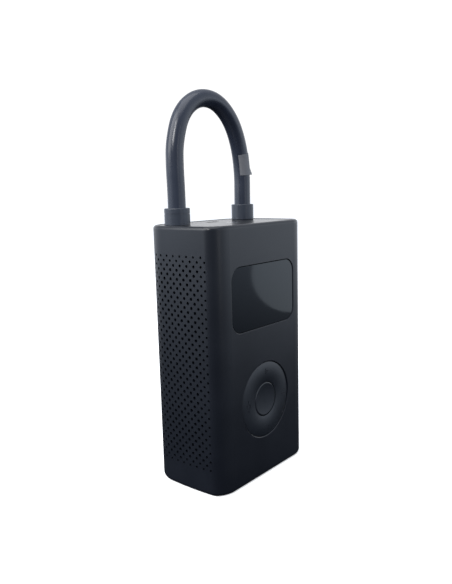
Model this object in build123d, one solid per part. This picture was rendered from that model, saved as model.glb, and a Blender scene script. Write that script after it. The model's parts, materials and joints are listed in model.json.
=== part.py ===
from build123d import *

import math
import os

# Hand-held cordless air pump: a perforated sleeve with a piston compressor, two cells and a
# display inside, and a stiff hose that plugs back into the top as a carrying loop.
# Millimetres. +Z is up, the display faces -Y, and the origin is the centre of the base.

# ---- driving dimensions ----
BODY_W = 71.0
BODY_D = 45.3
BODY_H = 124.0
WALL = 2.2

SIDE_BOW_R = 180.0  # the narrow walls are very slightly barrelled
BACK_CORNER_R = 14.2
SIDE_CORNER_R = 5.0
FRONT_CORNER_R = 11.6
CORNER_SPLIT = 45.0  # where the front corner changes from the tight to the soft radius, degrees
TOP_EDGE_R = 1.6
BOTTOM_EDGE_R = 1.9

CAP_T = 2.2
CAP_GAP = 0.08
CAP_DROP = 0.2  # the top cap sits this far below the sleeve's rim
BASE_T = 2.4

WINDOW_W = 48.0
WINDOW_H = 30.2
WINDOW_R = 6.0
WINDOW_Z = 89.9
WINDOW_DROP = 0.35
CUTOUT_GAP = 0.1
CUTOUT_CHAMFER = 0.3

PAD_Z = 38.5
PAD_HOLE_R = 18.6
PAD_R = 18.3
PAD_CROWN = 0.5
PAD_BORE_R = 8.5
BUTTON_R = 8.2

HOLE_R = 0.74
EDGE_HOLE_R = 0.56
HOLE_GROWTH = 0.03  # radius gained per millimetre in from the panel's edge
ROW_PITCH = 2.085
ROW_COUNT = 48
FIRST_ROW_Z = 12.6
COLUMN_PITCH = 4.05
HALF_COLUMNS = 4

HOSE_Y = 9.0
HOSE_X = 24.5
HOSE_R = 4.2
HOSE_BORE_R = 2.0
COLLAR_R = 6.0
COLLAR_TOP = 131.6
NUT_R = 5.75
NUT_LOWER_R = 5.4
NUT_BOTTOM = 104.8
TAG_H = 9.6
TAG_PLACE = 0.785  # how far along the hose the label's middle is
THREAD_R = 3.85
HOSE_ROUTE = [
    (-24.5, 129.0),
    (-24.5, 140.0),
    (-24.9, 150.5),
    (-24.5, 161.3),
    (-19.6, 175.0),
    (-8.5, 182.8),
    (4.8, 182.8),
    (15.8, 175.1),
    (22.3, 163.0),
    (24.9, 148.5),
    (24.5, 134.5),
    (24.5, 121.0),
]

MACHINE_Y = 4.5  # the plane of motor, crank and cylinder axes
MOTOR_Z = 15.5
MOTOR_R = 12.2
MOTOR_X0 = -25.4
MOTOR_X1 = 5.4
MOTOR_SHAFT_R = 1.5
SHAFT_FIT = 0.05

MODULE = 0.7
PINION_TEETH = 12
GEAR_TEETH = 36
PRESSURE_ANGLE = 25.0
TOOTH_THINNING = 0.07
GEAR_X = 9.8
GEAR_T = 4.0
CRANK_Z = MOTOR_Z + MODULE * (PINION_TEETH + GEAR_TEETH) / 2
CRANK_SHAFT_R = 2.0
CRANK_R = 4.0
WEIGHT_R = 11.8
WEIGHT_BORE_R = 8.2
ROD_LENGTH = 26.0
PIN_Z = CRANK_Z - CRANK_R  # crank pin at bottom dead centre
WRIST_Z = PIN_Z + ROD_LENGTH
ROD_X = 19.5
ROD_T = 4.4

BORE_R = 8.0
PISTON_R = 7.8
SHELF_TOP = 48.6
SHELF_T = 1.5
CYLINDER_TOP = 71.2
FIN_R = 13.0
BOLT_CIRCLE_R = 11.0
BOLT_R = 1.2
HEAD_TOP = 80.5
NIPPLE_X = 13.5
SPRING_TOP = 77.4
FITTING_BOTTOM = 106.0
SOCKET_FLOOR = 102.6
LEVER_X = 19.3
LEVER_Z = 100.9

CELL_R = 9.2
CELL_H = 65.2
CELL_Y = 9.6
CELL_Z = 30.6
CELL_X = {"left": -23.0, "right": -4.2}

FRAME_Y0 = -11.5
FRAME_T = 1.5
FRAME_HALF_W = 32.6
LINER_GAP = 0.05
LINER_T = 0.4
LINER_HALF_D = 17.4
LINER_Z0 = 11.0
LINER_Z1 = 112.4
BOARD_T = 1.6
BOARD_BACK = -14.0
BOARD_Z0 = 58.0
BOARD_Z1 = 112.0
KEY_BOARD_BACK = -14.8
BOARD_POSTS = [(-24.0, 61.0), (24.0, 61.0), (-24.0, 109.0), (24.0, 109.0)]
MOTOR_LEAD_HOLES = [(-26.0, 66.0), (-20.0, 66.0)]
CELL_LEAD_HOLES = [(CELL_X["left"], CELL_Z + CELL_H + 0.1), (CELL_X["right"], CELL_Z + CELL_H + 0.1)]

SCREW_PLACES = [(28.2, 13.2), (-28.2, 13.2), (29.0, -15.2), (-29.0, -15.2)]
BOSS_R = 2.4
BOSS_TOP = 10.0
USB_Y = 9.0
LAMP_Y = -4.5
LAMP_R = 3.6

FRONT = -BODY_D / 2
INNER_FRONT = FRONT + WALL
CAP_TOP = BODY_H - CAP_DROP
CAP_BOTTOM = CAP_TOP - CAP_T

MIN_ALIGN = (Align.CENTER, Align.CENTER, Align.MIN)
LOW_ALIGN = (Align.MIN, Align.MIN, Align.MIN)


# ---- basic shapes ----
def rod_z(x, y, z0, z1, radius):
    return Pos(x, y, z0) * Cylinder(radius, z1 - z0, align=MIN_ALIGN)


def rod_x(x0, x1, y, z, radius):
    return Pos(x0, y, z) * Rot(0, 90, 0) * Cylinder(radius, x1 - x0, align=MIN_ALIGN)


def rod_y(x, y0, y1, z, radius):
    return Pos(x, y0, z) * Rot(-90, 0, 0) * Cylinder(radius, y1 - y0, align=MIN_ALIGN)


def block(x0, x1, y0, y1, z0, z1):
    return Pos(x0, y0, z0) * Box(x1 - x0, y1 - y0, z1 - z0, align=LOW_ALIGN)


def ring_z(x, y, z0, z1, outer, inner):
    return rod_z(x, y, z0, z1, outer) - rod_z(x, y, z0, z1, inner)


def ring_x(x0, x1, y, z, outer, inner):
    return rod_x(x0, x1, y, z, outer) - rod_x(x0, x1, y, z, inner)


def front_plate(width, height, radius, z, y0, y1):
    """A rounded rectangle facing the front, from y0 back to y1."""
    outline = RectangleRounded(width, height, radius)
    return Pos(0, y1, z) * Rot(90, 0, 0) * extrude(outline, y1 - y0)


def stadium(x0, x1, y, z0, z1, radius):
    ends = rod_z(x0, y, z0, z1, radius) + rod_z(x1, y, z0, z1, radius)
    return ends + block(x0, x1, y - radius, y + radius, z0, z1)


def body_section(inset):
    """The sleeve's outline: barrelled sides, round back corners, front corners in two radii."""
    half_w = BODY_W / 2
    half_d = BODY_D / 2
    split = math.radians(CORNER_SPLIT)
    rise = SIDE_CORNER_R * math.sin(split) + FRONT_CORNER_R * (1 - math.sin(split))
    side_reach = SIDE_BOW_R - SIDE_CORNER_R
    back_reach = SIDE_BOW_R - BACK_CORNER_R
    front_turn = math.asin((half_d - rise) / side_reach)
    back_turn = math.asin((half_d - BACK_CORNER_R) / back_reach)
    bow_c = (half_w - SIDE_BOW_R, 0)
    side_c = (bow_c[0] + side_reach * math.cos(front_turn), rise - half_d)
    step = SIDE_CORNER_R - FRONT_CORNER_R
    front_c = (side_c[0] + step * math.cos(split), side_c[1] - step * math.sin(split))
    back_c = (bow_c[0] + back_reach * math.cos(back_turn), half_d - BACK_CORNER_R)
    front_deg = math.degrees(front_turn)
    back_deg = math.degrees(back_turn)
    right = [
        CenterArc(front_c, FRONT_CORNER_R - inset, -90, 90 - CORNER_SPLIT),
        CenterArc(side_c, SIDE_CORNER_R - inset, -CORNER_SPLIT, CORNER_SPLIT - front_deg),
        CenterArc(bow_c, SIDE_BOW_R - inset, -front_deg, front_deg + back_deg),
        CenterArc(back_c, BACK_CORNER_R - inset, back_deg, 90 - back_deg),
    ]
    left = [mirror(edge, about=Plane.YZ) for edge in right]
    across = [
        Line((-front_c[0], inset - half_d), (front_c[0], inset - half_d)),
        Line((-back_c[0], half_d - inset), (back_c[0], half_d - inset)),
    ]
    return make_face(Curve() + right + left + across)


def fillet_path(points, share=0.45):
    """Straight runs joined by tangent arcs that are as large as their runs allow."""
    radii = []
    for before, here, after in zip(points, points[1:], points[2:]):
        first = Vector(*here) - Vector(*before)
        second = Vector(*after) - Vector(*here)
        turn = math.radians(first.get_angle(second))
        shorter = min(first.length, second.length)
        radii.append(share * shorter / math.tan(turn / 2))
    return FilletPolyline(*points, radius=radii), radii


def tube(path, outer, inner=0.0):
    section = Circle(outer)
    if inner:
        section = section - Circle(inner)
    plane = Plane(origin=path @ 0, z_dir=path % 0)
    return sweep(plane * section, path=path)


# ---- case ----
def side_perforations():
    """One straight pull of holes through both narrow walls, on a square lattice turned by 45
    degrees. The holes shrink toward the edge of the panel."""
    edge_y = HALF_COLUMNS * COLUMN_PITCH
    panel_h = (ROW_COUNT - 1) * ROW_PITCH
    holes = []
    for row in range(ROW_COUNT):
        rise = row * ROW_PITCH
        if row % 2:
            columns = [(k + 0.5) * COLUMN_PITCH for k in range(-HALF_COLUMNS, HALF_COLUMNS)]
        else:
            columns = [k * COLUMN_PITCH for k in range(-HALF_COLUMNS, HALF_COLUMNS + 1)]
        for y in columns:
            inward = min(edge_y - abs(y), rise, panel_h - rise)
            radius = min(HOLE_R, EDGE_HOLE_R + HOLE_GROWTH * inward)
            holes.append(rod_x(-BODY_W / 2 - 1, BODY_W / 2 + 1, y, FIRST_ROW_Z + rise, radius))
    return holes


def body_shell():
    shell = extrude(body_section(0), BODY_H)
    shell = fillet(shell.edges().group_by(Axis.Z)[-1], TOP_EDGE_R)
    shell = fillet(shell.edges().group_by(Axis.Z)[0], BOTTOM_EDGE_R)
    shell -= extrude(body_section(WALL), BODY_H)
    cutout_w = WINDOW_W + 2 * CUTOUT_GAP
    cutout_h = WINDOW_H + 2 * CUTOUT_GAP
    shell -= front_plate(cutout_w, cutout_h, WINDOW_R + CUTOUT_GAP, WINDOW_Z, FRONT - 1, INNER_FRONT + 1)
    shell -= rod_y(0, FRONT - 1, INNER_FRONT + 1, PAD_Z, PAD_HOLE_R)
    rims = shell.faces().filter_by(Plane.XZ).sort_by(Axis.Y)[0].inner_wires()
    shell = chamfer(rims.edges(), CUTOUT_CHAMFER)
    wall_middle = extrude(body_section(WALL / 2), BODY_H)
    for x, y in SCREW_PLACES:
        boss = rod_z(x, y, BASE_T + 0.1, BOSS_TOP, BOSS_R)
        boss += rod_z(1.05 * x, 1.08 * y, BASE_T + 0.1, BOSS_TOP, BOSS_R)
        shell += boss & wall_middle
    for x, y in SCREW_PLACES:
        shell -= rod_z(x, y, BASE_T, 9.0, BOLT_R)
    return shell.cut(*side_perforations())


def top_cap():
    cap = Pos(0, 0, CAP_BOTTOM) * extrude(body_section(WALL + CAP_GAP), CAP_T)
    cap -= rod_z(-HOSE_X, HOSE_Y, CAP_BOTTOM, CAP_TOP, 3.2)
    cap -= rod_z(HOSE_X, HOSE_Y, CAP_BOTTOM, CAP_TOP, 5.7)
    cap -= rod_z(0, LAMP_Y, CAP_BOTTOM, CAP_TOP, LAMP_R)
    slot = Pos(0, USB_Y, CAP_BOTTOM) * extrude(RectangleRounded(8.2, 3.2, 1.2), CAP_T)
    cap -= slot
    for x in (-7.0, 7.0):
        cap += rod_z(x, 3.0, 116.4, CAP_BOTTOM, 1.5)
    return cap


def base_cap():
    cap = extrude(body_section(WALL + CAP_GAP), BASE_T)
    for x, y in SCREW_PLACES:
        cap -= rod_z(x, y, 0, 1.3, 2.5)
        cap -= rod_z(x, y, 0, BASE_T, 1.4)
    return cap


def base_screws():
    screws = []
    for x, y in SCREW_PLACES:
        screw = rod_z(x, y, 0.4, 1.3, 2.3) + rod_z(x, y, 1.3, 8.0, BOLT_R)
        drive = block(x - 1.4, x + 1.4, y - 0.25, y + 0.25, 0.4, 0.9)
        drive += block(x - 0.25, x + 0.25, y - 1.4, y + 1.4, 0.4, 0.9)
        screws.append(screw - drive)
    return Compound(children=screws)


def wall_liners():
    """The frame's thin side walls, which back the perforations and keep dust out."""
    height = LINER_Z1 - LINER_Z0
    liners = extrude(body_section(WALL + LINER_GAP), height)
    liners -= extrude(body_section(WALL + LINER_GAP + LINER_T), height)
    liners &= block(-BODY_W, BODY_W, -LINER_HALF_D, LINER_HALF_D, 0, height)
    return Pos(0, 0, LINER_Z0) * liners


def inner_frame():
    frame = block(-FRAME_HALF_W, FRAME_HALF_W, FRAME_Y0, FRAME_Y0 + FRAME_T, 3.2, 118.0)
    frame += wall_liners()
    for x, z in BOARD_POSTS:
        frame += rod_y(x, BOARD_BACK, FRAME_Y0, z, 1.8)
    for x in (-11.0, 11.0):
        for z in (PAD_Z - 11, PAD_Z + 11):
            frame += rod_y(x, KEY_BOARD_BACK, FRAME_Y0, z, 1.8)
    for x, z in MOTOR_LEAD_HOLES + CELL_LEAD_HOLES:
        frame -= rod_y(x, FRAME_Y0, FRAME_Y0 + FRAME_T, z, 1.4)
    for z in (10.0, 75.0):
        frame -= block(-8, 18, FRAME_Y0, FRAME_Y0 + FRAME_T, z, z + 12)
    return frame


# ---- display and buttons ----
def display_window():
    glass = front_plate(WINDOW_W, WINDOW_H, WINDOW_R, WINDOW_Z, FRONT + WINDOW_DROP, INNER_FRONT)
    glass = fillet(glass.edges().group_by(Axis.Y)[0], 0.2)
    flange_w = WINDOW_W + 1.6
    flange_h = WINDOW_H + 4
    flange = front_plate(flange_w, flange_h, WINDOW_R + 1, WINDOW_Z, INNER_FRONT, INNER_FRONT + 0.8)
    return glass + flange


def seven_segment_digit(x, z, y0, y1):
    """One lamp digit: seven bars, 5 mm wide and 9 mm high."""
    bars = [
        block(x + dx - 2.0, x + dx + 2.0, y0, y1, z + dz - 0.45, z + dz + 0.45)
        for dx, dz in ((0, -4.5), (0, 0), (0, 4.5))
    ]
    for dx in (-2.5, 2.5):
        for dz in (-2.25, 2.25):
            bars.append(block(x + dx - 0.45, x + dx + 0.45, y0, y1, z + dz - 1.6, z + dz + 1.6))
    return bars


def display_module():
    y1 = -16.6
    y0 = -19.2
    module = block(-22, 22, y0, y1, WINDOW_Z - 12, WINDOW_Z + 12)
    for x in (-14.0, -5.0, 5.0, 14.0):
        for bar in seven_segment_digit(x, WINDOW_Z, y0 - 0.2, y0):
            module += bar
    for x in (-18.0, 18.0):
        module += block(x - 2, x + 2, y1, BOARD_BACK - BOARD_T, WINDOW_Z - 2, WINDOW_Z + 2)
    return module


def main_board():
    board = block(-27.5, 27.5, BOARD_BACK - BOARD_T, BOARD_BACK, BOARD_Z0, BOARD_Z1)
    board += block(-1, 11, BOARD_BACK, BOARD_BACK + 1.4, 94, 106)
    board += block(14, 21, BOARD_BACK, BOARD_BACK + 1.0, 95, 100)
    board += block(-16, -9, BOARD_BACK, BOARD_BACK + 1.8, 70, 77)
    for x in (0.0, 6.0, 12.0):
        board += rod_y(x, BOARD_BACK, BOARD_BACK + 2.0, 66.0, 2.2)
    return board


def key_board():
    return rod_y(0, KEY_BOARD_BACK - 1.2, KEY_BOARD_BACK, PAD_Z, 17.0)


def tact_switches():
    base_y = KEY_BOARD_BACK - 1.2
    switches = []
    for angle in (0, 90, 180, 270):
        x = 13.5 * math.cos(math.radians(angle))
        z = PAD_Z + 13.5 * math.sin(math.radians(angle))
        body = block(x - 2.2, x + 2.2, base_y - 1.0, base_y, z - 2.2, z + 2.2)
        switches.append(body + rod_y(x, base_y - 1.55, base_y - 1.0, z, 1.1))
    body = block(-2.2, 2.2, base_y - 1.0, base_y, PAD_Z - 2.2, PAD_Z + 2.2)
    switches.append(body + rod_y(0, base_y - 1.25, base_y - 1.0, PAD_Z, 1.1))
    return Compound(children=switches)


def pad_symbols(depth):
    """Faint generic symbols cut into the ring: plus, minus, a lamp and a mode mark."""
    y0 = FRONT - 0.1
    y1 = FRONT + depth
    r = 14.0
    arm = 1.5
    half = 0.25
    marks = block(-arm, arm, y0, y1, PAD_Z + r - half, PAD_Z + r + half)
    marks += block(-half, half, y0, y1, PAD_Z + r - arm, PAD_Z + r + arm)
    marks += block(-arm, arm, y0, y1, PAD_Z - r - half, PAD_Z - r + half)
    marks += rod_y(-r, y0, y1, PAD_Z, 1.4) - rod_y(-r, y0, y1, PAD_Z, 0.9)
    marks += block(-r - half, -r + half, y0, y1, PAD_Z + 1.9, PAD_Z + 2.9)
    marks += block(-r - half, -r + half, y0, y1, PAD_Z - 2.9, PAD_Z - 1.9)
    marks += block(r - 1.6, r + 1.6, y0, y1, PAD_Z + 0.7, PAD_Z + 1.2)
    marks += block(r - 1.6, r + 1.6, y0, y1, PAD_Z - 1.2, PAD_Z - 0.7)
    return marks


def turned_about_pad(profile):
    """Turns an outline drawn as (radius, depth) about the pad's own axis."""
    return Pos(0, 0, PAD_Z) * revolve(profile, Axis.Y)


def pad_ring():
    back = INNER_FRONT + 1.15
    flange_r = PAD_R + 1.3
    flange_front = INNER_FRONT + 0.6
    rim_y = FRONT + PAD_CROWN
    crown_r = 0.55 * PAD_R + 0.45 * PAD_BORE_R
    crown = ThreePointArc((PAD_BORE_R, rim_y), (crown_r, FRONT), (PAD_R, rim_y))
    sides = Polyline(
        (PAD_R, rim_y),
        (PAD_R, flange_front),
        (flange_r, flange_front),
        (flange_r, back),
        (PAD_BORE_R, back),
        (PAD_BORE_R, rim_y),
    )
    return turned_about_pad(make_face(crown + sides)) - pad_symbols(0.2)


def pad_carrier():
    y0 = INNER_FRONT + 1.6
    return rod_y(0, y0, y0 + 0.8, PAD_Z, 17.5) - rod_y(0, y0, y0 + 0.8, PAD_Z, 10.3)


def start_button():
    rim_y = FRONT + 0.35
    rim_r = BUTTON_R - 0.5
    dish = ThreePointArc((0, rim_y + 0.5), (0.55 * rim_r, rim_y + 0.36), (rim_r, rim_y))
    flange_y = INNER_FRONT + 1.6
    sides = Polyline(
        (rim_r, rim_y),
        (BUTTON_R, rim_y + 0.35),
        (BUTTON_R, flange_y),
        (BUTTON_R + 1.3, flange_y),
        (BUTTON_R + 1.3, flange_y + 0.75),
        (0, flange_y + 0.75),
        (0, rim_y + 0.5),
    )
    return turned_about_pad(make_face(dish + sides))


# ---- cells ----
def battery_cell(side):
    x = CELL_X[side]
    cell = rod_z(x, CELL_Y, CELL_Z, CELL_Z + CELL_H - 0.6, CELL_R)
    cell = fillet(cell.edges(), 0.8)
    return cell + rod_z(x, CELL_Y, CELL_Z + CELL_H - 0.7, CELL_Z + CELL_H, 2.8)


def cell_cradle():
    x0 = CELL_X["left"]
    x1 = CELL_X["right"]
    low = CELL_Z - 1.4
    high = CELL_Z + CELL_H + 0.4
    cradle = block(x0, x1, -1.4, -0.2, low, high + 1.2)
    for z in (low, high):
        cradle += stadium(x0, x1, CELL_Y, z, z + 1.2, CELL_R)
        cradle += block(x0, x1, -1.4, CELL_Y, z, z + 1.2)
    for x in (x0, x1):
        cradle -= block(x - 3, x + 3, -2, 0, high - 0.6, high)
    return cradle


def cell_strips():
    x0 = CELL_X["left"]
    x1 = CELL_X["right"]
    top = CELL_Z + CELL_H
    strips = [block(x0 - 3, x1 + 3, CELL_Y - 3, CELL_Y + 3, CELL_Z - 0.2, CELL_Z)]
    for x in (x0, x1):
        strips.append(block(x - 2.5, x + 2.5, -3, CELL_Y + 3, top, top + 0.2))
    return Compound(children=strips)


# ---- motor ----
def motor_can():
    can = rod_x(MOTOR_X0 + 2, MOTOR_X1, MACHINE_Y, MOTOR_Z, MOTOR_R)
    can = fillet(can.edges().group_by(Axis.X)[-1], 0.8)
    can -= rod_x(MOTOR_X0 + 2, MOTOR_X1 - 1.2, MACHINE_Y, MOTOR_Z, MOTOR_R - 1)
    can -= rod_x(MOTOR_X0, MOTOR_X1, MACHINE_Y, MOTOR_Z, MOTOR_SHAFT_R + SHAFT_FIT)
    for y in (MACHINE_Y - 8, MACHINE_Y + 8):
        can -= rod_x(MOTOR_X1 - 1.2, MOTOR_X1, y, MOTOR_Z, BOLT_R)
    return can


def motor_magnets():
    ring = ring_x(-19, 0, MACHINE_Y, MOTOR_Z, MOTOR_R - 1, 9.6)
    gap = block(-19, 0, MACHINE_Y - 4, MACHINE_Y + 4, MOTOR_Z - 12, MOTOR_Z + 12)
    return Compound(children=list((ring - gap).solids()))


def motor_end_cap():
    cap = rod_x(MOTOR_X0, MOTOR_X0 + 2, MACHINE_Y, MOTOR_Z, MOTOR_R)
    cap += rod_x(MOTOR_X0 - 1, MOTOR_X0, MACHINE_Y, MOTOR_Z, 4.0)
    cap -= rod_x(MOTOR_X0 - 1, MOTOR_X0 + 2, MACHINE_Y, MOTOR_Z, MOTOR_SHAFT_R + SHAFT_FIT)
    for y in (MACHINE_Y - 7, MACHINE_Y + 7):
        cap += block(MOTOR_X0 - 2, MOTOR_X0, y - 1.2, y + 1.2, MOTOR_Z - 0.25, MOTOR_Z + 0.25)
    return cap


def motor_armature():
    core = rod_x(-17, -1, MACHINE_Y, MOTOR_Z, 8.9)
    for k in range(5):
        slot = rod_x(-17, -1, 7.0, 0, 1.4) + block(-17, -1, 7.0, 9.5, -0.5, 0.5)
        core -= Pos(0, MACHINE_Y, MOTOR_Z) * Rot(36 + 72 * k, 0, 0) * slot
    core += rod_x(-18.5, -17, MACHINE_Y, MOTOR_Z, 5.2)
    core += rod_x(-1, 0.6, MACHINE_Y, MOTOR_Z, 5.2)
    core += rod_x(-22, -18.5, MACHINE_Y, MOTOR_Z, 3.4)
    return core - rod_x(-22, 0.6, MACHINE_Y, MOTOR_Z, MOTOR_SHAFT_R)


def motor_shaft():
    return rod_x(MOTOR_X0 - 1, GEAR_X + GEAR_T + 0.4, MACHINE_Y, MOTOR_Z, MOTOR_SHAFT_R)


def motor_screws():
    x0 = MOTOR_X1 + 1.5
    screws = []
    for y in (MACHINE_Y - 8, MACHINE_Y + 8):
        screws.append(rod_x(x0, x0 + 1.3, y, MOTOR_Z, 2.0) + rod_x(MOTOR_X1 - 1.2, x0, y, MOTOR_Z, BOLT_R))
    return Compound(children=screws)


# ---- gears and crank ----
def spur_gear(teeth, bore_r, x0, z, turn):
    """An involute spur gear about X. Tooth 0 points down (-Z) before the turn, in degrees."""
    pitch_r = MODULE * teeth / 2
    base_r = pitch_r * math.cos(math.radians(PRESSURE_ANGLE))
    root_r = pitch_r - 1.25 * MODULE
    tip_r = pitch_r + 0.95 * MODULE
    half_pitch = math.pi / (2 * teeth) - TOOTH_THINNING / (2 * pitch_r)

    def involute(radius):
        slope = math.acos(base_r / radius)
        return math.tan(slope) - slope

    start_r = max(base_r, root_r) + 1e-6
    flank = [start_r + (tip_r - start_r) * k / 4 for k in range(5)]
    half_angles = [half_pitch + involute(pitch_r) - involute(r) for r in flank]
    outline = []
    for tooth in range(teeth):
        middle = math.radians(turn) + 2 * math.pi * tooth / teeth
        root_half = half_angles[0]
        side = [(root_r, middle - root_half)] if root_r < start_r - 1e-3 else []
        side += [(r, middle - a) for r, a in zip(flank, half_angles)]
        back = [(r, middle + a) for r, a in zip(reversed(flank), reversed(half_angles))]
        back += [(root_r, middle + root_half)] if root_r < start_r - 1e-3 else []
        outline += [(r * math.cos(a), r * math.sin(a)) for r, a in side + back]
    blank = extrude(make_face(Polyline(*outline, close=True)), GEAR_T)
    blank -= Cylinder(bore_r, GEAR_T, align=MIN_ALIGN)
    return Pos(x0, MACHINE_Y, z) * Rot(0, 90, 0) * blank


def motor_pinion():
    return spur_gear(PINION_TEETH, MOTOR_SHAFT_R, GEAR_X, MOTOR_Z, 180 / PINION_TEETH)


def crank_gear():
    return spur_gear(GEAR_TEETH, CRANK_SHAFT_R, GEAR_X, CRANK_Z, 0)


def crank_shaft():
    return rod_x(MOTOR_X1 - 0.6, GEAR_X + GEAR_T + 0.2, MACHINE_Y, CRANK_Z, CRANK_SHAFT_R)


def crank_weight():
    x0 = GEAR_X + GEAR_T
    weight = ring_x(x0, x0 + 1.6, MACHINE_Y, CRANK_Z, WEIGHT_R, WEIGHT_BORE_R)
    return weight & block(x0, x0 + 2, MACHINE_Y - 14, MACHINE_Y + 14, CRANK_Z + 2, CRANK_Z + 14)


def crank_bearing():
    bearing = ring_x(MOTOR_X1, MOTOR_X1 + 4, MACHINE_Y, CRANK_Z, 5.0, CRANK_SHAFT_R + SHAFT_FIT)
    for x in (MOTOR_X1, MOTOR_X1 + 3.7):
        bearing -= ring_x(x, x + 0.3, MACHINE_Y, CRANK_Z, 4.0, 3.0)
    return bearing


def gearbox_bracket():
    """A cast frame: motor plate, base, outer leg and the shelf that carries the cylinder."""
    x0 = MOTOR_X1
    x1 = x0 + 1.5
    far = 30.5
    bracket = block(x0, x1, -8.0, 16.5, 3.2, SHELF_TOP)
    bracket += block(x0, far, -4.0, 10.0, 3.2, 4.7)
    bracket += block(far - 1.5, far, -4.0, 10.0, 3.2, SHELF_TOP)
    bracket += block(x0, far, -5.5, 14.5, SHELF_TOP - SHELF_T, SHELF_TOP)
    bracket += rod_x(x1, MOTOR_X1 + 4, MACHINE_Y, CRANK_Z, 6.5)
    bracket -= rod_x(x0, MOTOR_X1 + 4, MACHINE_Y, CRANK_Z, 5.0)
    bracket -= rod_x(x0, x1, MACHINE_Y, MOTOR_Z, 3.2)
    for y in (MACHINE_Y - 8, MACHINE_Y + 8):
        bracket -= rod_x(x0, x1, y, MOTOR_Z, BOLT_R)
    bracket -= rod_z(ROD_X, MACHINE_Y, SHELF_TOP - SHELF_T, SHELF_TOP, 8.8)
    for x, y in bolt_places():
        bracket -= rod_z(x, y, SHELF_TOP - SHELF_T, SHELF_TOP, BOLT_R)
    return bracket


# ---- piston and rod ----
def piston():
    low = WRIST_Z - 3.3
    top = WRIST_Z + 6.1
    body = rod_z(ROD_X, MACHINE_Y, low, top, PISTON_R)
    body -= block(ROD_X - 2.6, ROD_X + 2.6, MACHINE_Y - 5.6, MACHINE_Y + 5.6, low, WRIST_Z + 3.9)
    body -= ring_z(ROD_X, MACHINE_Y, WRIST_Z + 3.9, WRIST_Z + 5.3, PISTON_R, 6.9)
    body -= rod_x(ROD_X - PISTON_R, ROD_X + PISTON_R, MACHINE_Y, WRIST_Z, MOTOR_SHAFT_R)
    for x in (ROD_X - 1.3, ROD_X + 1.3):
        for y in (MACHINE_Y - 3.2, MACHINE_Y + 3.2):
            body -= rod_z(x, y, WRIST_Z + 3.9, top, 0.8)
    return body


def piston_seal():
    return ring_z(ROD_X, MACHINE_Y, WRIST_Z + 3.9, WRIST_Z + 5.3, BORE_R - 0.06, 6.9)


def intake_reed():
    return rod_z(ROD_X, MACHINE_Y, WRIST_Z + 6.1, WRIST_Z + 6.3, 5.2)


def wrist_pin():
    return rod_x(ROD_X - 7.2, ROD_X + 7.2, MACHINE_Y, WRIST_Z, MOTOR_SHAFT_R)


def connecting_rod():
    x0 = ROD_X - ROD_T / 2
    x1 = ROD_X + ROD_T / 2
    rod = rod_x(x0, x1, MACHINE_Y, PIN_Z, 5.6) + rod_x(x0, x1, MACHINE_Y, WRIST_Z, 3.2)
    rod += block(x0 + 0.8, x1 - 0.8, MACHINE_Y - 1.6, MACHINE_Y + 1.6, PIN_Z, WRIST_Z)
    rod -= rod_x(x0, x1, MACHINE_Y, PIN_Z, 3.9)
    return rod - rod_x(x0, x1, MACHINE_Y, WRIST_Z, MOTOR_SHAFT_R + SHAFT_FIT)


def big_end_bearing():
    return ring_x(ROD_X - ROD_T / 2, ROD_X + ROD_T / 2, MACHINE_Y, PIN_Z, 3.9, CRANK_SHAFT_R)


def crank_pin():
    """Ends 0.3 mm short of the gear's face, where the closed linkage is opened."""
    return rod_x(GEAR_X + GEAR_T + 0.3, ROD_X + ROD_T / 2 + 0.3, MACHINE_Y, PIN_Z, CRANK_SHAFT_R)


# ---- cylinder and head ----
def bolt_places():
    reach = BOLT_CIRCLE_R * math.sqrt(0.5)
    return [(ROD_X + sx * reach, MACHINE_Y + sy * reach) for sx in (-1, 1) for sy in (-1, 1)]


def cylinder():
    body = rod_z(ROD_X, MACHINE_Y, SHELF_TOP, CYLINDER_TOP, 9.6)
    body += rod_z(ROD_X, MACHINE_Y, SHELF_TOP - SHELF_T, SHELF_TOP, 8.7)
    for z in (51.6, 54.6, 57.6, 60.6, 63.6, 66.4):
        body += rod_z(ROD_X, MACHINE_Y, z, z + 1.1, FIN_R)
    for z in (SHELF_TOP, CYLINDER_TOP - 1.7):
        body += rod_z(ROD_X, MACHINE_Y, z, z + 1.7, FIN_R)
    body -= rod_z(ROD_X, MACHINE_Y, SHELF_TOP - SHELF_T, CYLINDER_TOP - 1.8, BORE_R)
    body -= rod_z(ROD_X, MACHINE_Y, CYLINDER_TOP - 1.8, CYLINDER_TOP, 1.6)
    for x, y in bolt_places():
        body -= rod_z(x, y, SHELF_TOP, CYLINDER_TOP, BOLT_R + 0.1)
    return body


def head_gasket():
    gasket = ring_z(ROD_X, MACHINE_Y, CYLINDER_TOP, CYLINDER_TOP + 0.5, FIN_R, 4.8)
    for x, y in bolt_places():
        gasket -= rod_z(x, y, CYLINDER_TOP, CYLINDER_TOP + 0.5, BOLT_R + 0.1)
    return gasket


def cylinder_head():
    z0 = CYLINDER_TOP + 0.5
    head = rod_z(ROD_X, MACHINE_Y, z0, HEAD_TOP, FIN_R)
    head = fillet(head.edges().group_by(Axis.Z)[-1], 1.0)
    head -= rod_z(ROD_X, MACHINE_Y, z0, SPRING_TOP, 4.6)
    head += rod_z(NIPPLE_X, MACHINE_Y, HEAD_TOP, HEAD_TOP + 6, HOSE_BORE_R)
    head -= rod_x(NIPPLE_X, ROD_X, MACHINE_Y, 75.0, 1.0)
    head -= rod_z(NIPPLE_X, MACHINE_Y, 75.0, HEAD_TOP + 6, 1.0)
    for x, y in bolt_places():
        head -= rod_z(x, y, z0, HEAD_TOP, BOLT_R + 0.1)
    return head


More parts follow.
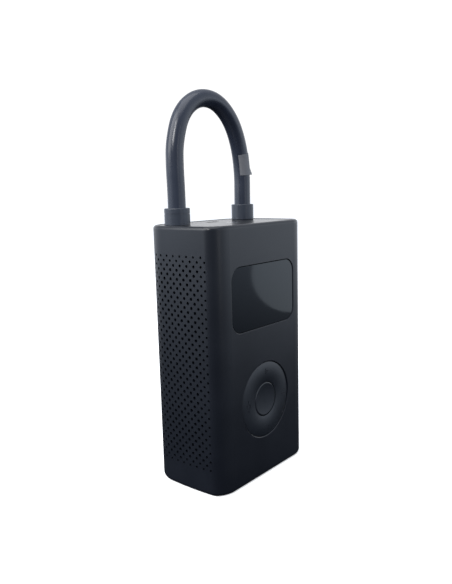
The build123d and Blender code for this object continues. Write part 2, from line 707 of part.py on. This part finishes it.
def head_bolts():
    bolts = []
    for x, y in bolt_places():
        head = rod_z(x, y, HEAD_TOP, HEAD_TOP + 2.0, 2.1) - rod_z(x, y, HEAD_TOP + 0.9, HEAD_TOP + 2.0, 1.0)
        bolts.append(head + rod_z(x, y, SHELF_TOP - SHELF_T, HEAD_TOP, BOLT_R))
    return Compound(children=bolts)


def delivery_valve():
    z0 = CYLINDER_TOP + 0.05
    return rod_z(ROD_X, MACHINE_Y, z0, z0 + 0.9, 3.4) + rod_z(ROD_X, MACHINE_Y, z0 + 0.9, z0 + 2.2, 1.5)


def delivery_spring():
    z0 = CYLINDER_TOP + 1.25
    coil = Pos(ROD_X, MACHINE_Y, z0) * Helix(pitch=1.2, height=SPRING_TOP - z0 - 0.3, radius=2.4)
    return tube(coil, 0.25)


# ---- air path ----
def air_line():
    points = [
        (NIPPLE_X, MACHINE_Y, HEAD_TOP + 0.2),
        (NIPPLE_X, MACHINE_Y, 101.0),
        (-HOSE_X, HOSE_Y, 101.0),
        (-HOSE_X, HOSE_Y, FITTING_BOTTOM + 4),
    ]
    return tube(FilletPolyline(*points, radius=[8.0, 4.5]), 2.8, HOSE_BORE_R)


def outlet_fitting():
    x = -HOSE_X
    z0 = FITTING_BOTTOM
    hexagon = Pos(x, HOSE_Y, z0 + 4) * extrude(RegularPolygon(6.5, 6), 6.5)
    fitting = hexagon + rod_z(x, HOSE_Y, z0, z0 + 4, HOSE_BORE_R)
    fitting += rod_z(x, HOSE_Y, z0 + 10.5, CAP_BOTTOM, 7.0)
    fitting += rod_z(x, HOSE_Y, CAP_BOTTOM, 128.3, 3.0)
    fitting -= ring_z(x, HOSE_Y, 125.5, 127.0, 3.0, 2.3)
    fitting -= rod_z(x, HOSE_Y, z0, 128.3, 1.1)
    return fitting


def outlet_seal():
    return ring_z(-HOSE_X, HOSE_Y, 125.5, 127.0, 3.05, 2.3)


def pressure_sensor():
    x = -HOSE_X
    flat = HOSE_Y - 6.5 * math.cos(math.pi / 6)
    body = block(x - 5, x + 5, -6.5, -2.0, 108.0, 117.0)
    return body + rod_y(x, -2.0, flat, 112.5, 1.2)


def stow_socket():
    x = HOSE_X
    socket = rod_z(x, HOSE_Y, SOCKET_FLOOR, CAP_BOTTOM, 6.9)
    socket += rod_z(x, HOSE_Y, CAP_BOTTOM - 1.5, CAP_BOTTOM, 8.2)
    socket -= rod_z(x, HOSE_Y, SOCKET_FLOOR + 1.2, CAP_BOTTOM, 5.7)
    return socket - rod_z(x, HOSE_Y, SOCKET_FLOOR, SOCKET_FLOOR + 1.2, 2.8)


def hose_switch():
    x = HOSE_X
    body = block(x - 6.4, x + 6.4, HOSE_Y - 2.9, HOSE_Y + 2.9, 93.5, 99.8)
    body += rod_z(x, HOSE_Y, 99.8, 100.4, 1.0)
    for y in (HOSE_Y - 2.9, HOSE_Y + 2.1):
        body += block(LEVER_X - 1.2, LEVER_X + 1.2, y, y + 0.8, 99.8, 101.8)
    return body - rod_y(LEVER_X, HOSE_Y - 3, HOSE_Y + 3, LEVER_Z, 0.45)


def hose_switch_lever():
    strip = block(LEVER_X - 0.9, HOSE_X + 2, HOSE_Y - 1.8, HOSE_Y + 1.8, 100.7, 101.1)
    strip += rod_y(LEVER_X, HOSE_Y - 2.8, HOSE_Y + 2.8, LEVER_Z, 0.4)
    return strip + block(HOSE_X - 1.4, HOSE_X + 1.4, HOSE_Y - 1.4, HOSE_Y + 1.4, 101.1, NUT_BOTTOM - 0.3)


# ---- top board ----
def top_board():
    board = block(-9, 9, -9, 13.5, 115.2, 116.4)
    board += block(-1.75, 1.75, LAMP_Y - 1.75, LAMP_Y + 1.75, 116.4, 117.4)
    return board + rod_z(0, LAMP_Y, 117.4, 118.0, 1.4)


def usb_port():
    outer = extrude(RectangleRounded(7.6, 2.8, 1.0), 6.6)
    inner = Pos(0, 0, 0.8) * extrude(RectangleRounded(7.0, 2.2, 0.7), 6.0)
    tongue = Pos(0, -0.35, 0.8) * Box(4.6, 0.6, 4.6, align=MIN_ALIGN)
    return Pos(0, USB_Y, 116.4) * (outer - inner + tongue)


def lamp_lens():
    lens = rod_z(0, LAMP_Y, CAP_BOTTOM, CAP_TOP, LAMP_R)
    return lens + rod_z(0, LAMP_Y, CAP_BOTTOM - 1, CAP_BOTTOM, LAMP_R + 0.8)


# ---- hose ----
def hose_path():
    return fillet_path([(x, HOSE_Y, z) for x, z in HOSE_ROUTE])


def hose_tube():
    path, radii = hose_path()
    hose = tube(path, HOSE_R, HOSE_BORE_R)
    section = math.pi * (HOSE_R**2 - HOSE_BORE_R**2)
    print("hose length", round(path.length, 1), "radii", [round(r, 1) for r in radii])
    print("hose volume", round(hose.volume, 1), "section x length", round(section * path.length, 1))
    return hose


def hose_collar():
    x = -HOSE_X
    collar = rod_z(x, HOSE_Y, CAP_TOP + 0.08, COLLAR_TOP, COLLAR_R)
    collar = fillet(collar.edges().group_by(Axis.Z)[-1], 0.4)
    collar -= ring_z(x, HOSE_Y, 128.9, 129.2, COLLAR_R, COLLAR_R - 0.2)
    collar -= rod_z(x, HOSE_Y, CAP_TOP, HOSE_ROUTE[0][1], 3.1)
    return collar - rod_z(x, HOSE_Y, HOSE_ROUTE[0][1], COLLAR_TOP, HOSE_R)


def hose_root_insert():
    top = HOSE_ROUTE[0][1]
    insert = rod_z(-HOSE_X, HOSE_Y, top - 0.4, top, 3.1) + rod_z(-HOSE_X, HOSE_Y, top, top + 6, HOSE_BORE_R)
    return insert - rod_z(-HOSE_X, HOSE_Y, top - 0.4, top + 6, 1.2)


def valve_stem():
    x = HOSE_X
    top = HOSE_ROUTE[-1][1]
    stem = rod_z(x, HOSE_Y, top - 1.8, top, 4.75) + rod_z(x, HOSE_Y, top, top + 8, HOSE_BORE_R)
    stem += rod_z(x, HOSE_Y, top - 3.6, top - 1.8, 3.0)
    stem -= rod_z(x, HOSE_Y, top - 1.0, top + 8, 1.2)
    for dx in (-1.1, 1.1):
        stem -= rod_z(x + dx, HOSE_Y, top - 3.6, top - 1.0, 0.5)
    return stem


def valve_seal():
    top = HOSE_ROUTE[-1][1] - 1.8
    return ring_z(HOSE_X, HOSE_Y, top - 2.0, top, 4.7, 3.0)


def valve_nut():
    """The free end's screw connector: a collar above the top cap and a threaded mouth below."""
    x = HOSE_X
    shoulder = CAP_TOP + 0.1
    nut = fillet(rod_z(x, HOSE_Y, shoulder, 131.8, NUT_R).edges(), 0.35)
    nut += rod_z(x, HOSE_Y, NUT_BOTTOM, shoulder + 0.5, NUT_LOWER_R)
    nut -= rod_z(x, HOSE_Y, NUT_BOTTOM, 116.8, THREAD_R)
    nut -= rod_z(x, HOSE_Y, 116.8, HOSE_ROUTE[-1][1] + 0.1, 4.85)
    return nut - rod_z(x, HOSE_Y, 116.8, 132.0, HOSE_R + 0.1)


def hose_tag():
    """A blank paper label round the front of the hose, with one edge standing off."""
    path, _ = hose_path()
    up = -(path % TAG_PLACE)
    level = Plane(origin=path @ TAG_PLACE, x_dir=Vector(up.Z, 0, -up.X), z_dir=up)
    inner = HOSE_R + 0.25
    wrap = Circle(inner + 0.3) - Circle(inner)
    sector = Polygon((0, 0), (-9, -6.5), (-9, -9), (9, -9), (9, -4.6), align=None)
    flag = Pos(2.66, -3.82) * Rot(0, 0, -36) * Rectangle(1.8, 0.25, align=(Align.MIN, Align.CENTER))
    label = extrude((wrap & sector) + flag, TAG_H)
    return level * Pos(0, 0, -TAG_H / 2) * label


# ---- leads ----
def power_leads():
    leads = []
    for (x, z), y in zip(MOTOR_LEAD_HOLES, (MACHINE_Y - 7, MACHINE_Y + 7)):
        points = [
            (MOTOR_X0 - 1.6, y, MOTOR_Z + 1.05),
            (MOTOR_X0 - 1.6, y, MOTOR_Z + 4.0),
            (-29.5, -5.0, 27.0),
            (x, -5.0, 40.0),
            (x, -5.0, z),
            (x, BOARD_BACK, z),
        ]
        leads.append(tube(FilletPolyline(*points, radius=[1.2, 4.0, 6.0, 2.5]), 0.8))
    for x, z in CELL_LEAD_HOLES:
        leads.append(rod_y(x, BOARD_BACK, -3.0, z, 0.8))
    return Compound(children=leads)


NODES = {
    "body_shell": body_shell,
    "top_cap": top_cap,
    "base_cap": base_cap,
    "base_screws": base_screws,
    "inner_frame": inner_frame,
    "display_window": display_window,
    "display_module": display_module,
    "main_board": main_board,
    "key_board": key_board,
    "tact_switches": tact_switches,
    "pad_ring": pad_ring,
    "pad_carrier": pad_carrier,
    "start_button": start_button,
    "battery_cell_left": lambda: battery_cell("left"),
    "battery_cell_right": lambda: battery_cell("right"),
    "cell_cradle": cell_cradle,
    "cell_strips": cell_strips,
    "motor_can": motor_can,
    "motor_magnets": motor_magnets,
    "motor_end_cap": motor_end_cap,
    "motor_armature": motor_armature,
    "motor_shaft": motor_shaft,
    "motor_screws": motor_screws,
    "motor_pinion": motor_pinion,
    "crank_gear": crank_gear,
    "crank_shaft": crank_shaft,
    "crank_weight": crank_weight,
    "crank_bearing": crank_bearing,
    "gearbox_bracket": gearbox_bracket,
    "piston": piston,
    "piston_seal": piston_seal,
    "intake_reed": intake_reed,
    "wrist_pin": wrist_pin,
    "connecting_rod": connecting_rod,
    "big_end_bearing": big_end_bearing,
    "crank_pin": crank_pin,
    "cylinder": cylinder,
    "head_gasket": head_gasket,
    "cylinder_head": cylinder_head,
    "head_bolts": head_bolts,
    "delivery_valve": delivery_valve,
    "delivery_spring": delivery_spring,
    "air_line": air_line,
    "outlet_fitting": outlet_fitting,
    "outlet_seal": outlet_seal,
    "pressure_sensor": pressure_sensor,
    "stow_socket": stow_socket,
    "hose_switch": hose_switch,
    "hose_switch_lever": hose_switch_lever,
    "top_board": top_board,
    "usb_port": usb_port,
    "lamp_lens": lamp_lens,
    "hose_tube": hose_tube,
    "hose_collar": hose_collar,
    "hose_root_insert": hose_root_insert,
    "valve_stem": valve_stem,
    "valve_seal": valve_seal,
    "valve_nut": valve_nut,
    "hose_tag": hose_tag,
    "power_leads": power_leads,
}

os.makedirs("parts", exist_ok=True)
for name, make in NODES.items():
    part = make()
    part.label = name
    export_step(part, f"parts/{name}.step")
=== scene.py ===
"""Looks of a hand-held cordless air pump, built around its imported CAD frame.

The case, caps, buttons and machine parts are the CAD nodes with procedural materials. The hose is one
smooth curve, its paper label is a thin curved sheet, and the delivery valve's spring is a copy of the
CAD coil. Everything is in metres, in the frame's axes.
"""

import json
import math

import bpy
from mathutils import Matrix, Vector


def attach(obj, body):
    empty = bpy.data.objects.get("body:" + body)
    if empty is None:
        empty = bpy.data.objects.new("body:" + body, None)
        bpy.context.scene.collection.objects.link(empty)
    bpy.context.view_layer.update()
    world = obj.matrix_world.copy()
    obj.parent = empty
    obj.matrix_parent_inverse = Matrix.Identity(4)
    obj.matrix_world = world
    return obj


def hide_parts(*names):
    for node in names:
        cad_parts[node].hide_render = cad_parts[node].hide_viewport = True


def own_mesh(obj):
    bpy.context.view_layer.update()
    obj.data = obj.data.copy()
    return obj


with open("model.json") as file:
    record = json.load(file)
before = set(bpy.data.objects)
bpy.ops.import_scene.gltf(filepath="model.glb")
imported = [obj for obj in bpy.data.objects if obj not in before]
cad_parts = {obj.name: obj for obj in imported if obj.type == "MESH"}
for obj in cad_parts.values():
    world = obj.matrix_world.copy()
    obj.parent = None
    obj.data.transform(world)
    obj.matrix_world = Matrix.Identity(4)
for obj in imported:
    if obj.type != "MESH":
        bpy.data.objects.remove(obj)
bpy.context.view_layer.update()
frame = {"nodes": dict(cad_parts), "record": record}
nodes = frame["nodes"]
MM = 0.001

# ---- camera: yaw about +Z, pitch down, roll, and the point it stands at ----
CAMERA_YAW = math.radians(-49.94)
CAMERA_PITCH = math.radians(9.44)
CAMERA_ROLL = math.radians(-1.50)
CAMERA_PLACE = Vector((-0.2296, -0.1919, 0.1391))
CAMERA_LENS_MM = 37.64

# ---- hose: the same route as in the CAD model, millimetres in the plane y = HOSE_Y ----
HOSE_Y = 9.0
HOSE_R = 4.2
HOSE_ROUTE = [
    (-24.5, 129.0),
    (-24.5, 140.0),
    (-24.9, 150.5),
    (-24.5, 161.3),
    (-19.6, 175.0),
    (-8.5, 182.8),
    (4.8, 182.8),
    (15.8, 175.1),
    (22.3, 163.0),
    (24.9, 148.5),
    (24.5, 134.5),
    (24.5, 121.0),
]


# ---- shader helpers ----
def new_material(name, color, roughness, metallic=0.0, **sockets):
    material = bpy.data.materials.new(name)
    material.use_nodes = True
    shader = material.node_tree.nodes["Principled BSDF"]
    shader.inputs["Base Color"].default_value = (*color, 1.0)
    shader.inputs["Roughness"].default_value = roughness
    shader.inputs["Metallic"].default_value = metallic
    for socket, value in sockets.items():
        shader.inputs[socket.replace("_", " ")].default_value = value
    return material


def add_grain(material, scale, strength, distance, detail=3.0, stretch=(1, 1, 1)):
    """A fine moulded or ground texture, as bump."""
    tree = material.node_tree
    shader = tree.nodes["Principled BSDF"]
    place = tree.nodes.new("ShaderNodeTexCoord")
    mapping = tree.nodes.new("ShaderNodeMapping")
    mapping.inputs["Scale"].default_value = stretch
    noise = tree.nodes.new("ShaderNodeTexNoise")
    noise.inputs["Scale"].default_value = scale
    noise.inputs["Detail"].default_value = detail
    bump = tree.nodes.new("ShaderNodeBump")
    bump.inputs["Strength"].default_value = strength
    bump.inputs["Distance"].default_value = distance
    tree.links.new(place.outputs["Object"], mapping.inputs["Vector"])
    tree.links.new(mapping.outputs["Vector"], noise.inputs["Vector"])
    tree.links.new(noise.outputs["Fac"], bump.inputs["Height"])
    tree.links.new(bump.outputs["Normal"], shader.inputs["Normal"])
    return noise


def add_patches(material, scale, tone, gloss):
    """Broad soft patches that are a little lighter and rougher than the rest."""
    tree = material.node_tree
    shader = tree.nodes["Principled BSDF"]
    color = shader.inputs["Base Color"].default_value[:3]
    roughness = shader.inputs["Roughness"].default_value
    place = tree.nodes.new("ShaderNodeTexCoord")
    noise = tree.nodes.new("ShaderNodeTexNoise")
    noise.inputs["Scale"].default_value = scale
    noise.inputs["Detail"].default_value = 4.0
    tree.links.new(place.outputs["Object"], noise.inputs["Vector"])
    contrast = tree.nodes.new("ShaderNodeMapRange")
    contrast.inputs["From Min"].default_value = 0.3
    contrast.inputs["From Max"].default_value = 0.7
    tree.links.new(noise.outputs["Fac"], contrast.inputs["Value"])
    shade = tree.nodes.new("ShaderNodeMix")
    shade.data_type = "RGBA"
    shade.inputs["A"].default_value = (*(c * (1 - tone) for c in color), 1)
    shade.inputs["B"].default_value = (*(c * (1 + tone) for c in color), 1)
    tree.links.new(contrast.outputs["Result"], shade.inputs["Factor"])
    tree.links.new(shade.outputs["Result"], shader.inputs["Base Color"])
    spread = tree.nodes.new("ShaderNodeMapRange")
    spread.inputs["To Min"].default_value = roughness * (1 - gloss)
    spread.inputs["To Max"].default_value = roughness * (1 + gloss)
    tree.links.new(contrast.outputs["Result"], spread.inputs["Value"])
    tree.links.new(spread.outputs["Result"], shader.inputs["Roughness"])


# ---- materials ----
def satin_plastic(name, color, roughness, grain=0.25):
    material = new_material(name, color, roughness)
    add_grain(material, 2600.0, grain, 0.00004)
    add_patches(material, 55.0, 0.10, 0.07)
    return material


def glossy_sheet(name, color, roughness, **sockets):
    """Glass, film and enamel: smooth, with the faintest unevenness."""
    material = new_material(name, color, roughness, **sockets)
    add_patches(material, 120.0, 0.06, 0.15)
    return material


def dull_solid(name, color, roughness, grain=0.3):
    material = new_material(name, color, roughness)
    add_grain(material, 1400.0, grain, 0.00004)
    add_patches(material, 160.0, 0.14, 0.08)
    return material


def hose_rubber():
    material = new_material("hose_rubber", (0.021, 0.026, 0.041), 0.27)
    add_grain(material, 900.0, 0.015, 0.00005)
    add_patches(material, 70.0, 0.08, 0.10)
    return material


def label_paper():
    material = new_material("label_paper", (0.145, 0.148, 0.160), 0.55)
    add_grain(material, 1500.0, 0.2, 0.00003)
    add_patches(material, 420.0, 0.07, 0.05)
    return material


def metal(name, color, roughness, grain=0.12):
    material = new_material(name, color, roughness, metallic=1.0)
    add_grain(material, 1800.0, grain, 0.00003)
    add_patches(material, 240.0, 0.08, 0.18)
    return material


MATERIALS = {
    "case": satin_plastic("case_plastic", (0.0060, 0.0076, 0.0120), 0.32, 0.12),
    "cap": satin_plastic("cap_plastic", (0.0135, 0.0140, 0.0150), 0.29, 0.08),
    "window": glossy_sheet(
        "window_glass",
        (0.004, 0.005, 0.007),
        0.04,
        Specular_IOR_Level=0.31,
        Specular_Tint=(0.84, 0.92, 1.0, 1.0),
    ),
    "pad": satin_plastic("pad_plastic", (0.0105, 0.0132, 0.0185), 0.36, 0.12),
    "fitting_plastic": satin_plastic("fitting_plastic", (0.030, 0.036, 0.050), 0.32, 0.12),
    "hose": hose_rubber(),
    "label": label_paper(),
    "brass": metal("brass", (0.62, 0.44, 0.17), 0.28),
    "steel": metal("steel", (0.52, 0.53, 0.55), 0.30),
    "screw": metal("blackened_steel", (0.07, 0.07, 0.075), 0.38),
    "alloy": metal("cast_alloy", (0.50, 0.51, 0.53), 0.48, 0.35),
    "seal": dull_solid("seal_rubber", (0.012, 0.012, 0.013), 0.7),
    "cell": glossy_sheet("cell_film", (0.03, 0.16, 0.34), 0.3),
    "nickel": metal("nickel", (0.60, 0.59, 0.55), 0.26),
    "magnet": dull_solid("ferrite", (0.03, 0.03, 0.032), 0.6),
    "copper": metal("copper_winding", (0.52, 0.20, 0.09), 0.35, 0.4),
    "board": glossy_sheet("board_mask", (0.01, 0.09, 0.035), 0.35),
    "module": satin_plastic("moulded_black", (0.02, 0.02, 0.022), 0.45),
    "inner_plastic": satin_plastic("inner_plastic", (0.09, 0.095, 0.105), 0.5),
    "piston_plastic": dull_solid("seal_polymer", (0.62, 0.60, 0.54), 0.35),
    "clear": glossy_sheet("lens_plastic", (0.045, 0.050, 0.056), 0.24),
    "lead": glossy_sheet("lead_insulation", (0.35, 0.015, 0.015), 0.4),
    "gasket": dull_solid("gasket_fibre", (0.05, 0.16, 0.10), 0.8),
}

for part in frame["record"]["subparts"]:
    piece = nodes[part["node"]]
    piece.data.materials.clear()
    piece.data.materials.append(MATERIALS[part["material_slot"]])


# ---- hose and its label ----
HOSE_PIECES = ["hose_collar", "hose_root_insert", "valve_stem", "valve_seal", "valve_nut"]

LABEL_H = 10.8
LABEL_PLACE = 0.780  # how far along the hose the label's middle is
LABEL_ANGLES = (-64.0, 76.0)  # round the hose from its front, degrees
LABEL_LEAVES = 20.0  # where its lower edge leaves the hose
LABEL_T = 0.12
LABEL_STANDOFF = 0.08  # a hair off the hose, so the two surfaces stay apart
LABEL_STEPS = (35, 14)


def hose_curve(name, bevel):
    curve = bpy.data.curves.new(name, "CURVE")
    curve.dimensions = "3D"
    spline = curve.splines.new("NURBS")
    spline.points.add(len(HOSE_ROUTE) - 1)
    for point, (x, z) in zip(spline.points, HOSE_ROUTE):
        point.co = (x * MM, HOSE_Y * MM, z * MM, 1.0)
    spline.order_u = 3
    spline.use_endpoint_u = True
    spline.resolution_u = 24
    curve.bevel_depth = bevel
    curve.bevel_resolution = 12
    return bpy.data.objects.new(name, curve)


def hose_centre_line():
    bare = hose_curve("hose_line", 0.0)
    line = bpy.data.meshes.new_from_object(bare)
    points = [vertex.co.copy() for vertex in line.vertices]
    bpy.data.objects.remove(bare)
    return points


def place_on_line(points, distance):
    """The point at that distance along the line, and the line's direction there."""
    for here, ahead in zip(points, points[1:]):
        step = (ahead - here).length
        if distance <= step:
            way = (ahead - here).normalized()
            return here + way * distance, way
        distance -= step
    return points[-1], (points[-1] - points[-2]).normalized()


def label_surface(points, standoff):
    """A grid round the front of the hose whose lower corner has come unstuck and stands straight."""
    total = sum((b - a).length for a, b in zip(points, points[1:]))
    columns, rows = LABEL_STEPS
    first, last = LABEL_ANGLES
    grid = []
    for row in range(rows + 1):
        down = row / rows
        centre, way = place_on_line(points, LABEL_PLACE * total + (down - 0.5) * LABEL_H * MM)
        front = Vector((0.0, -1.0, 0.0))
        side = front.cross(way).normalized()
        leaves = last + (LABEL_LEAVES - last) * down
        for column in range(columns + 1):
            angle = first + (last - first) * column / columns
            turn = math.radians(min(angle, leaves))
            loose = math.radians(max(0.0, angle - leaves)) * HOSE_R
            out = front * math.cos(turn) + side * math.sin(turn)
            along = side * math.cos(turn) - front * math.sin(turn)
            grid.append(centre + (out * (HOSE_R + standoff) + along * loose) * MM)
    return grid


def add_label(points):
    inside = label_surface(points, LABEL_STANDOFF)
    outside = label_surface(points, LABEL_STANDOFF + LABEL_T)
    columns, rows = LABEL_STEPS
    across = columns + 1
    behind = len(inside)
    faces = []
    for row in range(rows):
        for column in range(columns):
            corner = row * across + column
            near = (corner, corner + 1, corner + across + 1, corner + across)
            faces.append(tuple(behind + index for index in near))
            faces.append(near[::-1])
    rim = list(range(across))
    rim += [row * across + columns for row in range(1, rows + 1)]
    rim += [rows * across + column for column in range(columns - 1, -1, -1)]
    rim += [row * across for row in range(rows - 1, 0, -1)]
    for here, ahead in zip(rim, rim[1:] + rim[:1]):
        faces.append((here, ahead, behind + ahead, behind + here))
    mesh = bpy.data.meshes.new("hose_label")
    mesh.from_pydata(inside + outside, [], faces)
    mesh.materials.append(MATERIALS["label"])
    for face in mesh.polygons:
        face.use_smooth = True
    mesh.set_sharp_from_angle(angle=math.radians(40))
    label = bpy.data.objects.new("hose_label", mesh)
    bpy.context.collection.objects.link(label)
    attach(label, "hose")
    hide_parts("hose_tag")
    return label


def add_hose():
    hose = hose_curve("hose", HOSE_R * MM)
    bpy.context.collection.objects.link(hose)
    hose.data.materials.append(MATERIALS["hose"])
    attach(hose, "hose")
    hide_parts("hose_tube")
    [nodes[name] for name in HOSE_PIECES] + [add_label(hose_centre_line())]


add_hose()


def add_valve_spring():
    coil = bpy.data.objects.new("valve_spring_coil", nodes["delivery_spring"].data.copy())
    coil.matrix_world = nodes["delivery_spring"].matrix_world
    bpy.context.collection.objects.link(coil)
    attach(coil, "root")
    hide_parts("delivery_spring")
    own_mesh(coil)


add_valve_spring()


# ---- camera ----
def add_camera():
    back = Vector(
        (
            math.sin(CAMERA_YAW) * math.cos(CAMERA_PITCH),
            -math.cos(CAMERA_YAW) * math.cos(CAMERA_PITCH),
            math.sin(CAMERA_PITCH),
        )
    )
    level = Vector((math.cos(CAMERA_YAW), math.sin(CAMERA_YAW), 0.0))
    rise = back.cross(level)
    right = math.cos(CAMERA_ROLL) * level + math.sin(CAMERA_ROLL) * rise
    data = bpy.data.cameras.new("camera")
    data.lens = CAMERA_LENS_MM
    data.clip_start = 0.01
    camera = bpy.data.objects.new("camera", data)
    axes = Matrix((right, back.cross(right), back)).transposed()
    camera.matrix_world = Matrix.Translation(CAMERA_PLACE) @ axes.to_4x4()
    bpy.context.collection.objects.link(camera)
    bpy.context.scene.camera = camera


add_camera()


# ---- stage: pale floor and soft lights ----
TOWARD_CAMERA = (-0.767, -0.641, 0.0)
PUMP_MIDDLE_Z = 0.1
FLOOR_RADIUS = 12.0
FLOOR_GLOW = 0.45
BACKDROP = (1.1, 1.1, 1.1, 1)


def add_floor():
    bpy.ops.mesh.primitive_circle_add(
        vertices=96, radius=FLOOR_RADIUS, fill_type="NGON", location=(0, 0, 0)
    )
    floor = bpy.context.object
    floor.name = "floor"
    paint = new_material("floor_paint", (0.92, 0.92, 0.92), 0.9)
    shader = paint.node_tree.nodes["Principled BSDF"]
    shader.inputs["Emission Color"].default_value = (1.0, 1.0, 1.0, 1.0)
    shader.inputs["Emission Strength"].default_value = FLOOR_GLOW
    floor.data.materials.append(paint)
    floor.visible_glossy = False
    floor.visible_shadow = False
    floor.visible_diffuse = False


def direction(azimuth, elevation, distance):
    """A place at that compass angle and height angle, seen from the middle of the pump."""
    turn, tilt = math.radians(azimuth), math.radians(elevation)
    across = distance * math.cos(tilt)
    height = PUMP_MIDDLE_Z + distance * math.sin(tilt)
    return (across * math.cos(turn), across * math.sin(turn), height)


def add_area_light(name, place, aim, size, energy, color=(1, 1, 1), shape="RECTANGLE"):
    data = bpy.data.lights.new(name, "AREA")
    data.shape = shape
    data.size, data.size_y = size
    data.energy = energy
    data.color = color
    light = bpy.data.objects.new(name, data)
    light.location = place
    light.rotation_euler = (Vector(aim) - Vector(place)).to_track_quat("-Z", "Y").to_euler()
    light.visible_camera = False
    bpy.context.collection.objects.link(light)


def add_ramp(tree, stops):
    ramp = tree.nodes.new("ShaderNodeValToRGB")
    elements = ramp.color_ramp.elements
    elements.remove(elements[1])
    elements[0].position, elements[0].color = stops[0][0], (*stops[0][1], 1)
    for position, color in stops[1:]:
        elements.new(position).color = (*color, 1)
    return ramp


def add_world():
    """A studio that is brightest at the horizon, dim below, and dim behind the photographer.

    Matt surfaces get at least SOFT_FILL from every side, and the camera sees a plain white backdrop.
    """
    world = bpy.data.worlds.new("studio")
    world.use_nodes = True
    tree = world.node_tree
    background = tree.nodes["Background"]
    place = tree.nodes.new("ShaderNodeTexCoord")
    split = tree.nodes.new("ShaderNodeSeparateXYZ")
    tree.links.new(place.outputs["Generated"], split.inputs["Vector"])
    height = tree.nodes.new("ShaderNodeMapRange")
    height.inputs["From Min"].default_value = -SKY_REACH
    height.inputs["From Max"].default_value = SKY_REACH
    tree.links.new(split.outputs["Z"], height.inputs["Value"])
    by_height = add_ramp(tree, SKY_BY_HEIGHT)
    tree.links.new(height.outputs["Result"], by_height.inputs["Fac"])
    facing = tree.nodes.new("ShaderNodeVectorMath")
    facing.operation = "DOT_PRODUCT"
    facing.inputs[1].default_value = TOWARD_CAMERA
    tree.links.new(place.outputs["Generated"], facing.inputs[0])
    side = tree.nodes.new("ShaderNodeMapRange")
    side.inputs["From Min"].default_value = -1.0
    tree.links.new(facing.outputs["Value"], side.inputs["Value"])
    by_side = add_ramp(tree, SKY_BY_SIDE)
    tree.links.new(side.outputs["Result"], by_side.inputs["Fac"])
    sky = tree.nodes.new("ShaderNodeVectorMath")
    sky.operation = "MULTIPLY"
    tree.links.new(by_height.outputs["Color"], sky.inputs[0])
    tree.links.new(by_side.outputs["Color"], sky.inputs[1])
    seen = tree.nodes.new("ShaderNodeLightPath")
    fill = tree.nodes.new("ShaderNodeVectorMath")
    fill.operation = "SCALE"
    fill.inputs[0].default_value = SOFT_FILL
    tree.links.new(seen.outputs["Is Diffuse Ray"], fill.inputs["Scale"])
    lit = tree.nodes.new("ShaderNodeVectorMath")
    lit.operation = "MAXIMUM"
    tree.links.new(sky.outputs["Vector"], lit.inputs[0])
    tree.links.new(fill.outputs["Vector"], lit.inputs[1])
    pick = tree.nodes.new("ShaderNodeMix")
    pick.data_type = "RGBA"
    tree.links.new(seen.outputs["Is Camera Ray"], pick.inputs["Factor"])
    tree.links.new(lit.outputs["Vector"], pick.inputs["A"])
    pick.inputs["B"].default_value = BACKDROP
    tree.links.new(pick.outputs["Result"], background.inputs["Color"])
    bpy.context.scene.world = world


SKY_REACH = 0.6  # the sine of 37 degrees
# from 37 degrees below the horizon (0) to 37 degrees above it (1)
SKY_BY_HEIGHT = (
    (0.0, (0.004, 0.005, 0.007)),
    (0.18, (0.010, 0.012, 0.016)),
    (0.30, (0.130, 0.150, 0.177)),
    (0.40, (0.54, 0.61, 0.72)),
    (0.46, (0.86, 0.98, 1.15)),
    (0.54, (1.34, 1.48, 1.68)),
    (0.70, (0.83, 0.92, 1.06)),
    (1.0, (0.55, 0.61, 0.70)),
)
SOFT_FILL = (0.24, 0.25, 0.27)  # the least light that reaches a matt surface
# from straight behind the pump (0) to straight behind the photographer (1)
SKY_BY_SIDE = (
    (0.0, (1.22, 1.12, 1.02)),
    (0.42, (1.0, 1.0, 1.0)),
    (0.54, (1.32, 1.32, 1.32)),
    (0.64, (1.12, 1.12, 1.12)),
    (0.92, (0.30, 0.31, 0.33)),
)

# a round card whose reflection is the pale disc in the display window
ROUND_CARD = {
    "place": (1.003, -0.684, -0.066),
    "aim": (0.015, -0.022, 0.093),
    "size": (0.187, 0.187),
    "energy": 0.078,
    "color": (0.86, 0.94, 1.0),
    "shape": "DISK",
}

add_floor()
add_area_light("overhead", (-0.15, -0.1, 1.3), (0, 0, 0.06), (1.2, 1.2), 8.0)
add_area_light("key_left", direction(154, 34, 1.2), (0, 0, 0.13), (0.8, 1.1), 10.0)
add_area_light("strip_front", direction(262, 10, 1.2), (0, 0, 0.13), (0.14, 0.75), 0.55)
add_area_light("strip_left", direction(197, 34, 1.2), (0, 0, 0.16), (0.26, 0.44), 6.0)
add_area_light("round_card", **ROUND_CARD)
add_world()
bpy.context.scene.view_settings.view_transform = "Standard"
